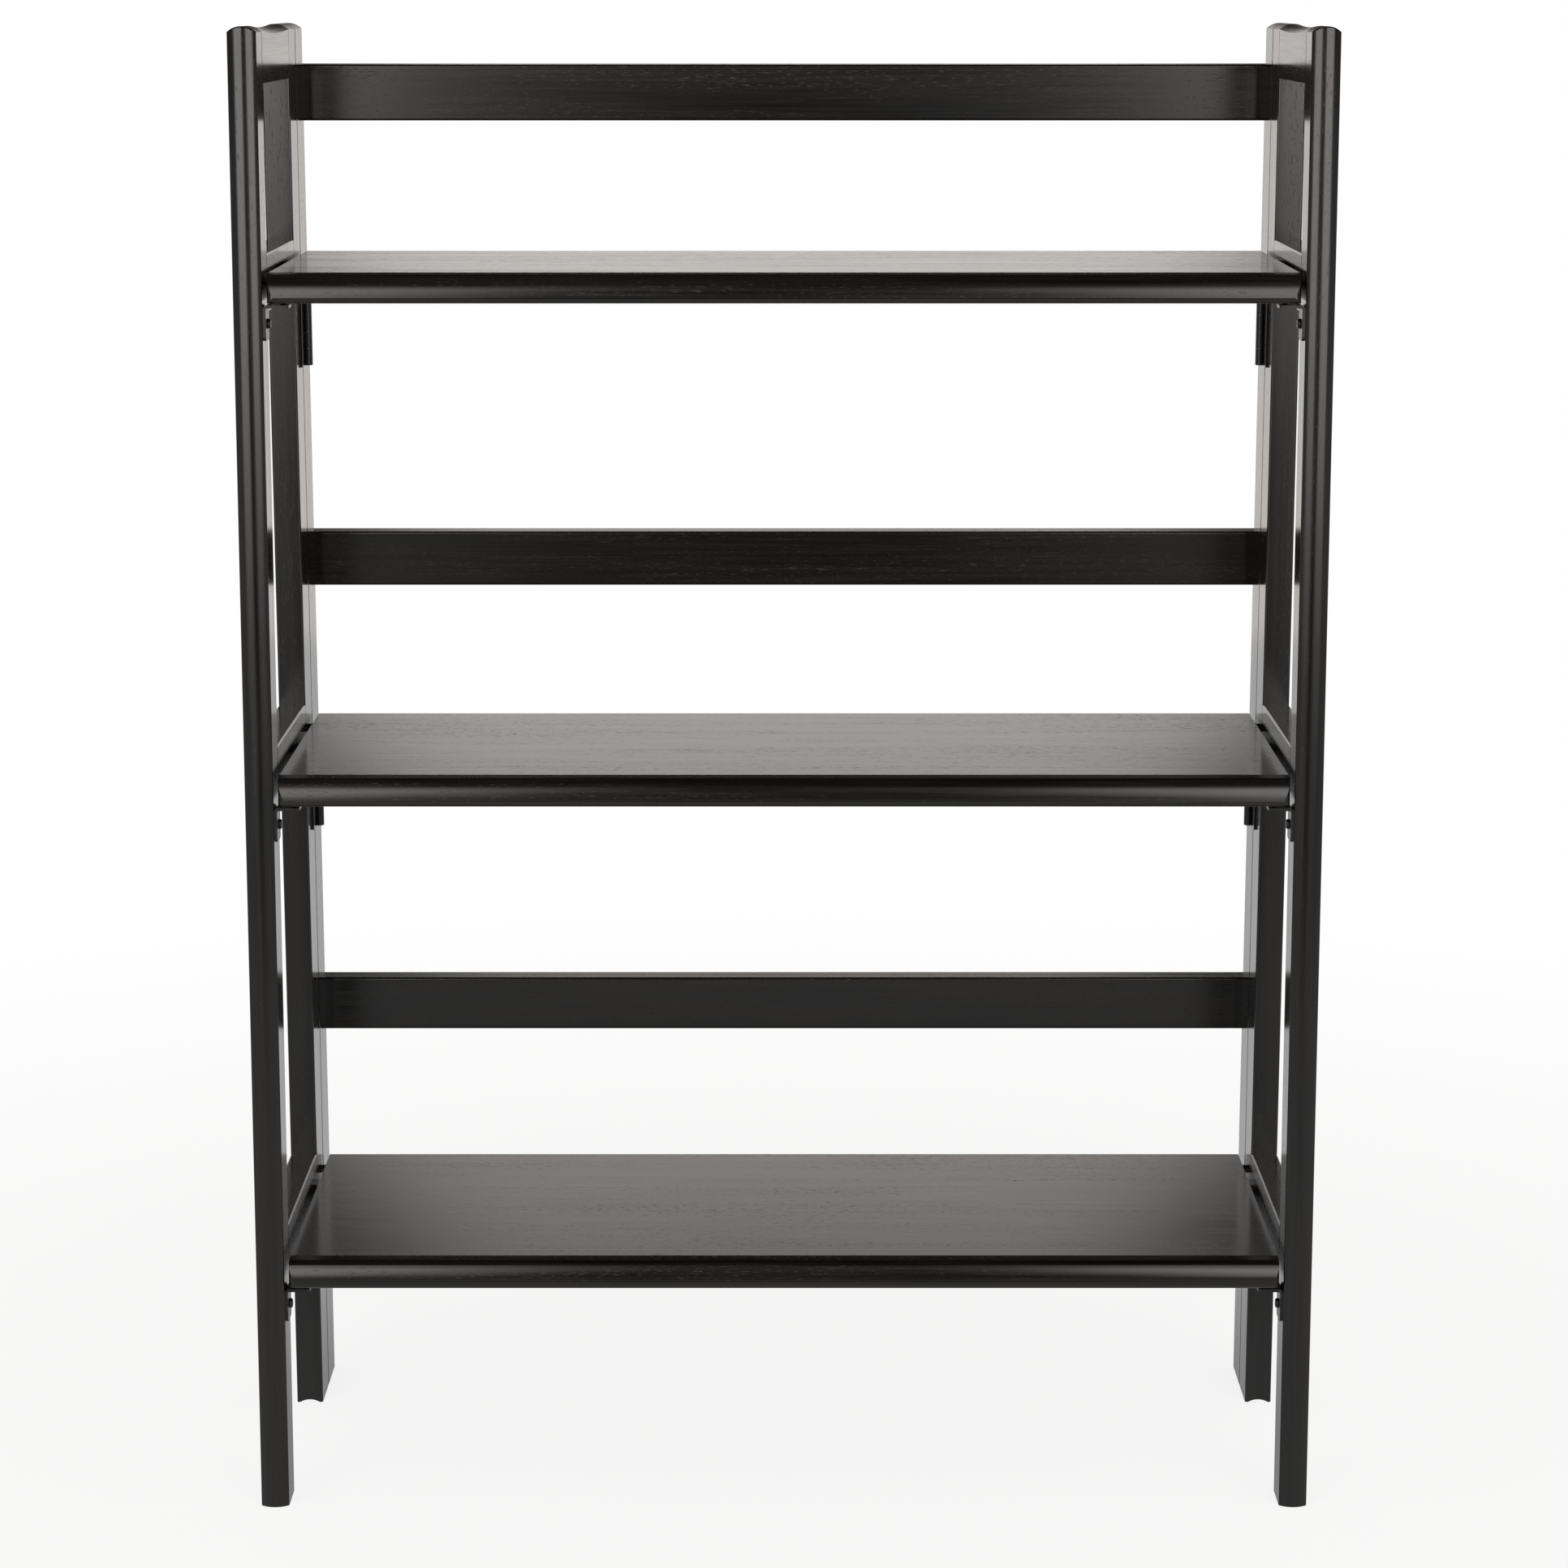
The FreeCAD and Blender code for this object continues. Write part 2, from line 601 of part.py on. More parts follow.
def stile():
    """The leaning right-hand stile of the back frame."""
    post = grooved(crowned(leaning_post(JUNCTION_AT_FLOOR, STILE_DEPTH)))
    low = OVERALL_HEIGHT - CROWN_RISE - SMALL_MARGIN
    near = junction(OVERALL_HEIGHT) + STILE_DEPTH - EDGE_ROUND - SMALL_MARGIN
    rim = [edge for edge in post.Edges if edge.BoundBox.ZMin > low and edge.BoundBox.YMin > near]
    post = post.makeFillet(CROWN_ARRIS_ROUND, rim)
    mortises = [slat_tenons(level, TENON_END_GAP) for level in LEVELS]
    pins = [pivot_pin(level) for level in LEVELS]
    return post.cut(mortises + pins + leaf_pilot_holes(1))


# Shelves


def on_nose(center, radius, rise):
    """The point (y, z) of an arc where the surface's normal rises by this angle above straight ahead."""
    return center[0] - radius * math.cos(rise), center[1] + radius * math.sin(rise)


def nose_outline(top, under):
    """Points of the nose from the top face's front edge round to the underside."""
    lower_center = (FRONT + NOSE_LOWER_ROUND, under + NOSE_LOWER_ROUND)
    face_center = (FRONT + NOSE_FACE_RADIUS, under + NOSE_LOWER_ROUND)
    top_center = on_nose(face_center, NOSE_FACE_RADIUS - NOSE_TOP_ROUND, NOSE_FACE_TURN)
    shoulder_rise = math.pi / 2 - NOSE_EASE
    shoulder = on_nose(top_center, NOSE_TOP_ROUND, shoulder_rise)
    on_top_round = on_nose(top_center, NOSE_TOP_ROUND, (shoulder_rise + NOSE_FACE_TURN) / 2)
    on_face = on_nose(face_center, NOSE_FACE_RADIUS, NOSE_FACE_TURN / 2)
    on_lower_round = on_nose(lower_center, NOSE_LOWER_ROUND, -math.pi / 4)
    return [
        (shoulder[0] + NOSE_EASE_WIDTH, top),
        shoulder,
        (*on_nose(face_center, NOSE_FACE_RADIUS, NOSE_FACE_TURN), *on_top_round),
        (FRONT, under + NOSE_LOWER_ROUND, *on_face),
        (FRONT + NOSE_LOWER_ROUND, under, *on_lower_round),
    ]


def shelf(level):
    """One shelf, with its eased nose at the front and its rounded rear edge at the pivot line."""
    top, under = SHELF_TOPS[level], shelf_underside(level)
    back = pivot_y(level) + SHELF_THICKNESS / 2
    rear = SHELF_REAR_ROUND
    bulge = rear * (1 - math.sqrt(0.5))
    points = [
        (back - rear, under),
        (back, under + rear, back - bulge, under + bulge),
        (back, top - rear),
        (back - rear, top, back - bulge, top - bulge),
        *nose_outline(top, under),
    ]
    board = outline_face(points, on_yz(-SHELF_HALF)).extrude(Vector(2 * SHELF_HALF, 0, 0))
    corner = SHELF_CORNER_ROUND
    plan = rounded_outline(-SHELF_HALF, FRONT, SHELF_HALF, back, (corner, corner, EDGE_ROUND, EDGE_ROUND))
    board = board.common(outline_face(plan, on_xy(under)).extrude(Vector(0, 0, SHELF_THICKNESS)))
    bore = rod(
        PIVOT_PIN_RADIUS + RUNNING_CLEARANCE,
        Vector(SHELF_HALF - PIVOT_PIN_IN_SHELF - PIN_END_GAP, pivot_y(level), pivot_height(level)),
        Vector(SHELF_HALF + SMALL_MARGIN, pivot_y(level), pivot_height(level)),
    )
    return board.cut([bore, mirrored(bore)])


def right_side_nodes():
    """Every node of the right-hand side frame, and the right-hand nodes of the back frame."""
    nodes = {
        "front_post": front_post(),
        "rear_post": rear_post(),
        "top_rail": top_rail(),
        "stile": stile(),
    }
    for level in LEVELS:
        nodes[f"{level}_rung"] = rung(level)
        nodes[f"{level}_bracket"] = bracket(level)
        nodes[f"{level}_post_leaf"] = hinge_leaf(level, -1)
        nodes[f"{level}_stile_leaf"] = hinge_leaf(level, 1)
    nodes["bracket_screws"] = Part.makeCompound([bracket_screw(level) for level in LEVELS])
    nodes["rest_studs"] = Part.makeCompound([rest_stud(level) for level in LEVELS])
    nodes["hinge_pins"] = Part.makeCompound([hinge_pin(level) for level in LEVELS])
    nodes["pivot_pins"] = Part.makeCompound([pivot_pin(level) for level in LEVELS])
    for name, side in (("post_leaf_screws", -1), ("stile_leaf_screws", 1)):
        nodes[name] = Part.makeCompound([screw for level in LEVELS for screw in leaf_screws(level, side)])
    return nodes


def build():
    """All nodes by name."""
    nodes = {}
    for name, shape in right_side_nodes().items():
        nodes[f"right_{name}"] = shape
        nodes[f"left_{name}"] = mirrored(shape)
    for level in LEVELS:
        nodes[f"{level}_slat"] = slat(level)
        nodes[f"{level}_shelf"] = shelf(level)
    return nodes


def main():
    """Writes one STEP file for each node and prints what it holds."""
    os.makedirs("parts", exist_ok=True)
    for name, shape in sorted(build().items()):
        solids = shape.Solids
        if not solids or not all(solid.isValid() and solid.Volume > 0 for solid in solids):
            raise ValueError(f"{name} is not made of valid solids")
        shape = solids[0] if len(solids) == 1 else Part.makeCompound(solids)
        shape.exportStep(f"parts/{name}.step")
        box = shape.BoundBox
        print(
            f"{name:26s} {len(solids):2d} solids {shape.Volume / 1000:9.2f} cm3"
            f"  x {box.XMin:8.2f} {box.XMax:8.2f}  y {box.YMin:8.2f} {box.YMax:8.2f}"
            f"  z {box.ZMin:7.2f} {box.ZMax:7.2f}"
        )


if __name__ == "__main__":
    main()
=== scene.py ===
"""Dresses the folding bookcase: black-stained timber, blackened steel and a plain white studio.

Lengths are in metres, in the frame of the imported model: X runs to the right, Y to the back and Z up, with the
origin on the floor in the middle of the feet. A pair named edges holds where a smooth change starts and ends.
"""

from __future__ import annotations

import logging
import math
from dataclasses import dataclass
from enum import Enum
from typing import Any

import bpy
import numpy as np
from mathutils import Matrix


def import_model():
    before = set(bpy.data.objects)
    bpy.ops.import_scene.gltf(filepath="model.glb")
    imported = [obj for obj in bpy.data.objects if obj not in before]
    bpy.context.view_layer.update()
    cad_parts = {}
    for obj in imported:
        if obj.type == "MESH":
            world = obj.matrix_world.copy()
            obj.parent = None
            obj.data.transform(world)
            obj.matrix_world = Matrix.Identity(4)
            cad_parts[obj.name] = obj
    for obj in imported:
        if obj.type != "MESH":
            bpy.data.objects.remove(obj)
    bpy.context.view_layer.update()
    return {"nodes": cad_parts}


LOG = logging.getLogger("bookcase")

Pair = tuple[float, float]
Triple = tuple[float, float, float]
Colour = tuple[float, float, float]

LEAN = math.radians(1.92)
NOISE_MIDDLE = 0.5
WHITE: Colour = (1.0, 1.0, 1.0)
WARM_WHITE: Colour = (1.0, 0.955, 0.915)


class Side(Enum):
    """A side of the bookcase or of the camera, by the sign of its X."""

    LEFT = -1
    RIGHT = 1

    @property
    def word(self) -> str:
        """Returns the side as the pieces' names have it."""
        return self.name.lower()


class Level(Enum):
    """The level of a shelf, as the pieces' names have it."""

    BOTTOM = "bottom"
    MIDDLE = "middle"
    TOP = "top"


class Ray(Enum):
    """A kind of ray that a finish can tell apart, as the shader calls it."""

    CAMERA = "Is Camera Ray"
    GLOSS = "Is Glossy Ray"


# Shader graphs


@dataclass(frozen=True)
class Pattern:
    """Smooth noise, by its waves to the metre along each axis and by the finer noise that is laid over it."""

    per_metre: Triple
    detail: float = 1.0
    roughness: float = 0.5
    distortion: float = 0.0


class Field:
    """A shader socket that Python's operators work on. Each operator adds one Math node to the graph."""

    def __init__(self, graph: Graph, socket: bpy.types.NodeSocket) -> None:
        """Keeps the socket and the graph that it belongs to."""
        self.graph = graph
        self.socket = socket

    def __add__(self, other: Field | float) -> Field:
        """Returns self + other."""
        return self.graph.maths("ADD", self, other)

    def __radd__(self, other: float) -> Field:
        """Returns other + self."""
        return self.graph.maths("ADD", other, self)

    def __sub__(self, other: Field | float) -> Field:
        """Returns self - other."""
        return self.graph.maths("SUBTRACT", self, other)

    def __rsub__(self, other: float) -> Field:
        """Returns other - self."""
        return self.graph.maths("SUBTRACT", other, self)

    def __mul__(self, other: Field | float) -> Field:
        """Returns self * other."""
        return self.graph.maths("MULTIPLY", self, other)

    def __rmul__(self, other: float) -> Field:
        """Returns other * self."""
        return self.graph.maths("MULTIPLY", other, self)

    def between(self, first: Field | float, second: Field | float) -> Field:
        """Returns first + self * (second - first): first where self is 0, and second where it is 1."""
        return first + self * (second - first)


class Graph:
    """A node tree that is filled by expressions and by one method for every other node."""

    def __init__(self, tree: bpy.types.NodeTree) -> None:
        """Empties the tree."""
        self.tree = tree
        tree.nodes.clear()

    def plug(self, socket: bpy.types.NodeSocket, value: Any) -> None:
        """Fills an input socket.

        Args:
            socket: The input.
            value: The field that is linked to it, or the plain value that it is set to.
        """
        if isinstance(value, Field):
            self.tree.links.new(value.socket, socket)
        else:
            socket.default_value = value

    def add(
        self,
        kind: str,
        settings: dict[str, Any] | None = None,
        sockets: dict[str | int, Any] | None = None,
        output: str | int = 0,
    ) -> Field:
        """Adds one node of any type.

        Args:
            kind: The node's type, such as "ShaderNodeTexNoise".
            settings: The node's own settings, which are made before its sockets are filled.
            sockets: Values or fields for the inputs, by name or by number.
            output: Name or number of the output that comes back.

        Returns:
            The chosen output, or the first input of a node that has no outputs.
        """
        node = self.tree.nodes.new(kind)
        for name, value in (settings or {}).items():
            setattr(node, name, value)
        for key, value in (sockets or {}).items():
            self.plug(node.inputs[key], value)
        ends_here = len(node.outputs) == 0
        return Field(self, node.inputs[0] if ends_here else node.outputs[output])

    def maths(self, operation: str, *values: Field | float) -> Field:
        """Adds a Math node and returns its value."""
        return self.add("ShaderNodeMath", {"operation": operation}, dict(enumerate(values)))

    def smooth(self, value: Field, low: float, high: float) -> Field:
        """Rises smoothly from 0 where value is low to 1 where it is high.

        Args:
            value: The field that is looked at.
            low: Where the rise starts.
            high: Where it ends.

        Returns:
            t * t * (3 - 2 t), with t running from 0 at low to 1 at high and held there.
        """
        return self.add(
            "ShaderNodeMapRange",
            {"interpolation_type": "SMOOTHSTEP"},
            {"Value": value, "From Min": low, "From Max": high},
        )

    def falling(self, value: Field, low: float, high: float) -> Field:
        """Falls smoothly from 1 where value is low to 0 where it is high."""
        return 1.0 - self.smooth(value, low, high)

    def ray(self, kind: Ray) -> Field:
        """Gives 1 where a ray of this kind meets the surface, and 0 for the others."""
        return self.add("ShaderNodeLightPath", output=kind.value)

    def split(self, place: Field) -> list[Field]:
        """Takes a position apart.

        Args:
            place: The position, as a vector field.

        Returns:
            Its X, Y and Z.
        """
        node = self.add("ShaderNodeSeparateXYZ", sockets={0: place}).socket.node
        return [Field(self, socket) for socket in node.outputs]

    def object_place(self, turn: Triple, step: Triple, number: int) -> Field:
        """Gives the place on a piece, turned and then moved by number times the step.

        Args:
            turn: Angles about X, Y and Z, made in that order.
            step: How far the pattern moves from one piece to the next.
            number: The piece's number.

        Returns:
            The place, as a vector field.
        """
        place = self.add("ShaderNodeTexCoord", output="Object")
        offset = tuple(number * part for part in step)
        return self.add(
            "ShaderNodeMapping",
            {"vector_type": "POINT"},
            {"Vector": place, "Rotation": turn, "Location": offset},
        )

    def noise(self, place: Field, pattern: Pattern) -> Field:
        """Adds smooth noise.

        Args:
            place: Where it is looked up.
            pattern: How fine it is along each axis.

        Returns:
            The noise, from 0 to 1 about NOISE_MIDDLE.
        """
        scaled = self.add("ShaderNodeVectorMath", {"operation": "MULTIPLY"}, {0: place, 1: pattern.per_metre})
        sockets = {
            "Vector": scaled,
            "Scale": 1.0,
            "Detail": pattern.detail,
            "Roughness": pattern.roughness,
            "Distortion": pattern.distortion,
        }
        return self.add("ShaderNodeTexNoise", {"noise_dimensions": "3D"}, sockets)

    def mix_colour(self, share: Field, first: Colour, second: Colour) -> Field:
        """Blends two colours.

        Args:
            share: How much of the second there is, from 0 to 1.
            first: The colour where share is 0.
            second: The colour where share is 1.

        Returns:
            The blend.
        """
        sockets = {0: share, 6: (*first, 1.0), 7: (*second, 1.0)}
        return self.add("ShaderNodeMix", {"data_type": "RGBA"}, sockets, output=2)

    def bump(self, height: Field, relief: float) -> Field:
        """Turns a height, in units of the relief in metres, into a bumpy normal."""
        return self.add("ShaderNodeBump", sockets={"Distance": relief, "Height": height})

    def emission(self, colour: Colour, strength: Field | float) -> Field:
        """Adds a shader that sends out a colour at a strength."""
        return self.add("ShaderNodeEmission", sockets={"Color": (*colour, 1.0), "Strength": strength})

    def mix_shaders(self, share: Field, first: Field, second: Field) -> Field:
        """Blends two shaders, the first where share is 0 and the second where it is 1."""
        return self.add("ShaderNodeMixShader", sockets={0: share, 1: first, 2: second})

    def end(self, shader: Field) -> None:
        """Ends a material's graph with its surface shader."""
        self.add("ShaderNodeOutputMaterial", sockets={"Surface": shader})


def new_material(name: str) -> tuple[bpy.types.Material, Graph]:
    """Starts a material.

    Args:
        name: The material's name.

    Returns:
        The material and its empty graph.
    """
    material = bpy.data.materials.new(name)
    material.use_nodes = True
    return material, Graph(material.node_tree)


# Finishes


class Grain(Enum):
    """The way a piece's grain runs, as the turn that brings it onto the pattern's own X axis."""

    ACROSS = (0.0, 0.0, 0.0)
    DEEP = (0.0, 0.0, -math.pi / 2)
    UPRIGHT = (0.0, math.pi / 2, 0.0)
    LEANING = (-LEAN, math.pi / 2, 0.0)


@dataclass(frozen=True)
class StainedWood:
    """Fine-grained hardwood, stained black and sprayed with satin lacquer."""

    dark: Colour = (0.0022, 0.0019, 0.0017)
    light: Colour = (0.0085, 0.0068, 0.0055)
    roughness: float = 0.165
    ior: float = 1.6
    figure: Pattern = Pattern((2.6, 42.0, 42.0), detail=3.0, roughness=0.55, distortion=0.8)
    streaks: Pattern = Pattern((9.0, 520.0, 520.0), detail=4.0, roughness=0.6)
    ripple: Pattern = Pattern((18.0, 60.0, 60.0))
    pores: Pattern = Pattern((190.0, 1500.0, 1500.0))
    pattern_step: Triple = (0.83, 0.37, -0.61)
    pore_edges: Pair = (0.60, 0.74)
    open_figure_edges: Pair = (0.30, 0.70)
    tone_edges: Pair = (0.34, 0.66)
    tone_by_figure: float = 0.5
    tone_by_streaks: float = 0.5
    pore_stain: float = 0.9
    relief: float = 0.00006
    streak_height: float = 0.08
    ripple_height: float = 0.20
    pore_depth: float = 0.12
    streak_roughness: float = 0.14
    figure_roughness: float = 0.05
    pore_roughness: float = 0.30

    def material(self, name: str, grain: Grain, number: int) -> bpy.types.Material:
        """Makes the timber of one piece.

        The heights are shares of the relief, and the pores are open only where the figure is light.

        Args:
            name: The piece's name.
            grain: The way its grain runs.
            number: The piece's number, which moves the pattern so that no two pieces show the same boards.

        Returns:
            The material.
        """
        material, graph = new_material(f"{name}_stained_wood")
        place = graph.object_place(grain.value, self.pattern_step, number)
        figure = graph.noise(place, self.figure)
        streaks = graph.noise(place, self.streaks)
        ripple = graph.noise(place, self.ripple)
        pores = graph.smooth(graph.noise(place, self.pores), *self.pore_edges)
        pores = pores * graph.smooth(figure, *self.open_figure_edges)
        mixed = figure * self.tone_by_figure + streaks * self.tone_by_streaks
        tone = graph.smooth(mixed, *self.tone_edges) * (1.0 - pores * self.pore_stain)
        height = streaks * self.streak_height + ripple * self.ripple_height - pores * self.pore_depth
        roughness = self.roughness + (streaks - NOISE_MIDDLE) * self.streak_roughness
        roughness = roughness + (figure - NOISE_MIDDLE) * self.figure_roughness
        sockets = {
            "Base Color": graph.mix_colour(tone, self.dark, self.light),
            "Roughness": roughness + pores * self.pore_roughness,
            "IOR": self.ior,
            "Normal": graph.bump(height, self.relief),
        }
        graph.end(graph.add("ShaderNodeBsdfPrincipled", sockets=sockets))
        return material


@dataclass(frozen=True)
class BlackSteel:
    """Pressed steel under a thin coat of black enamel."""

    dark: Colour = (0.0050, 0.0048, 0.0052)
    worn: Colour = (0.0240, 0.0225, 0.0225)
    roughness: float = 0.30
    ior: float = 1.5
    speckles: Pattern = Pattern((1400.0, 1400.0, 1400.0), detail=2.0)
    scuffs: Pattern = Pattern((160.0, 160.0, 160.0), detail=4.0, roughness=0.65)
    pattern_step: Triple = (0.21, 0.0, 0.13)
    wear_edges: Pair = (0.56, 0.74)
    relief: float = 0.00003
    speckle_roughness: float = 0.12
    wear_roughness: float = 0.10

    def material(self, name: str, number: int) -> bpy.types.Material:
        """Makes the enamel of one fitting.

        Args:
            name: The fitting's name.
            number: Its number, which moves the pattern.

        Returns:
            The material.
        """
        material, graph = new_material(f"{name}_black_steel")
        place = graph.object_place(Grain.ACROSS.value, self.pattern_step, number)
        speckles = graph.noise(place, self.speckles)
        wear = graph.smooth(graph.noise(place, self.scuffs), *self.wear_edges)
        roughness = self.roughness + (speckles - NOISE_MIDDLE) * self.speckle_roughness
        sockets = {
            "Base Color": graph.mix_colour(wear, self.dark, self.worn),
            "Roughness": roughness + wear * self.wear_roughness,
            "IOR": self.ior,
            "Normal": graph.bump(speckles, self.relief),
        }
        graph.end(graph.add("ShaderNodeBsdfPrincipled", sockets=sockets))
        return material


@dataclass(frozen=True)
class GroundSteel:
    """Bare steel with fine marks of grinding round its length."""

    dull: Colour = (0.36, 0.355, 0.35)
    bright: Colour = (0.62, 0.61, 0.60)
    roughness: float = 0.24
    marks: Pattern = Pattern((5200.0, 900.0, 900.0), detail=3.0, roughness=0.6)
    pattern_step: Triple = (0.17, 0.0, 0.0)
    bright_edges: Pair = (0.35, 0.65)
    relief: float = 0.00002
    mark_roughness: float = 0.16

    def material(self, name: str, number: int) -> bpy.types.Material:
        """Makes the ground finish of one set of pins or studs.

        Args:
            name: The set's name.
            number: Its number, which moves the pattern.

        Returns:
            The material.
        """
        material, graph = new_material(f"{name}_ground_steel")
        place = graph.object_place(Grain.ACROSS.value, self.pattern_step, number)
        marks = graph.noise(place, self.marks)
        sockets = {
            "Base Color": graph.mix_colour(graph.smooth(marks, *self.bright_edges), self.dull, self.bright),
            "Metallic": 1.0,
            "Roughness": self.roughness + (marks - NOISE_MIDDLE) * self.mark_roughness,
            "Normal": graph.bump(marks, self.relief),
        }
        graph.end(graph.add("ShaderNodeBsdfPrincipled", sockets=sockets))
        return material


# Sub-assemblies


@dataclass
class Dresser:
    """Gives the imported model's nodes their finishes, numbered so that each has its own pattern."""

    nodes: dict[str, bpy.types.Object]
    wood: StainedWood = StainedWood()
    black_steel: BlackSteel = BlackSteel()
    ground_steel: GroundSteel = GroundSteel()
    number: int = 0

    def next_number(self) -> int:
        """Moves on to the next node and returns its number, from 1."""
        self.number += 1
        return self.number

    def dress(self, name: str, material: bpy.types.Material) -> None:
        """Puts one material on a whole node and reports it.

        Args:
            name: The node's name.
            material: Its finish.
        """
        mesh = self.nodes[name].data
        mesh.materials.clear()
        mesh.materials.append(material)
        LOG.info("%s wears %s", name, material.name)

    def timber(self, name: str, grain: Grain) -> None:
        """Stains a timber node, with its grain running the given way."""
        self.dress(name, self.wood.material(name, grain, self.next_number()))

    def enamel(self, name: str) -> None:
        """Enamels a steel node black."""
        self.dress(name, self.black_steel.material(name, self.next_number()))

    def bare(self, name: str) -> None:
        """Leaves a steel node bare and ground."""
        self.dress(name, self.ground_steel.material(name, self.next_number()))


@dataclass
class SideFrame:
    """One side frame, with its hinge leaves and the brackets that carry the shelves."""

    side: Side
    dresser: Dresser

    def dress(self) -> None:
        """Dresses every node of the side frame."""
        side = self.side.word
        self.dresser.timber(f"{side}_front_post", Grain.UPRIGHT)
        self.dresser.timber(f"{side}_rear_post", Grain.LEANING)
        self.dresser.timber(f"{side}_top_rail", Grain.DEEP)
        for level in Level:
            self.dresser.timber(f"{side}_{level.value}_rung", Grain.DEEP)
            self.dresser.enamel(f"{side}_{level.value}_bracket")
            self.dresser.enamel(f"{side}_{level.value}_post_leaf")
        self.dresser.enamel(f"{side}_post_leaf_screws")
        self.dresser.enamel(f"{side}_bracket_screws")
        self.dresser.bare(f"{side}_rest_studs")


@dataclass
class BackFrame:
    """The leaning back frame, with its hinge leaves and the pins that the shelves and sides turn on."""

    dresser: Dresser

    def dress(self) -> None:
        """Dresses every node of the back frame."""
        for level in Level:
            self.dresser.timber(f"{level.value}_slat", Grain.ACROSS)
        for side in Side:
            self.dresser.timber(f"{side.word}_stile", Grain.LEANING)
            for level in Level:
                self.dresser.enamel(f"{side.word}_{level.value}_stile_leaf")
            self.dresser.enamel(f"{side.word}_stile_leaf_screws")
            self.dresser.bare(f"{side.word}_hinge_pins")
            self.dresser.bare(f"{side.word}_pivot_pins")


@dataclass
class Shelf:
    """One shelf board."""

    level: Level
    dresser: Dresser

    def dress(self) -> None:
        """Dresses the shelf's node."""
        self.dresser.timber(f"{self.level.value}_shelf", Grain.ACROSS)


# Studio


def grid_mesh(name: str, grid: np.ndarray, wrap_across: bool = False) -> bpy.types.Mesh:
    """Turns a grid of points into a mesh.

    The face of cell (i, j) has the corners (i, j), (i + 1, j), (i + 1, j + 1) and (i, j + 1).

    Args:
        name: The mesh's name.
        grid: The points, as an array of rows, columns and three coordinates.
        wrap_across: Whether the last column joins the first one.

    Returns:
        The mesh.
    """
    rows, columns = grid.shape[:2]
    number = np.arange(rows * columns).reshape(rows, columns)
    following = np.roll(number, -1, axis=1)
    if not wrap_across:
        number, following = number[:, :-1], following[:, :-1]
    faces = np.stack([number[:-1], number[1:], following[1:], following[:-1]], axis=-1).reshape(-1, 4)
    mesh = bpy.data.meshes.new(name)
    mesh.from_pydata(grid.reshape(-1, 3).tolist(), [], faces.tolist())
    return mesh


def set_stage(mesh: bpy.types.Mesh, material: bpy.types.Material) -> None:
    """Puts a piece of the studio into the scene, with its white not counted among the lamps.

    Args:
        mesh: The piece's mesh, whose name the piece takes.
        material: Its finish.
    """
    material.cycles.emission_sampling = "NONE"
    mesh.materials.append(material)
    piece = bpy.data.objects.new(mesh.name, mesh)
    bpy.context.scene.collection.objects.link(piece)
    LOG.info("%s set", mesh.name)


@dataclass
class Camera:
    """The camera, in front of the bookcase and just above its top."""

    distance: float = 2.55
    front: float = -0.14
    height: float = 1.0
    tilt_down: float = math.radians(10.14)
    lens_mm: float = 92.34
    sensor_mm: float = 36.0
    shift_y: float = -0.05
    sees_to: float = 200.0

    def place(self) -> None:
        """Makes the camera and hands it to the scene."""
        data = bpy.data.cameras.new("camera")
        data.sensor_width = self.sensor_mm
        data.lens = self.lens_mm
        data.shift_y = self.shift_y
        data.clip_end = self.sees_to
        camera = bpy.data.objects.new("camera", data)
        camera.location = (0.0, self.front - self.distance, self.height)
        camera.rotation_euler = (math.pi / 2 - self.tilt_down, 0.0, 0.0)
        bpy.context.scene.collection.objects.link(camera)
        bpy.context.scene.camera = camera
        LOG.info("camera %.2f m in front", self.distance)


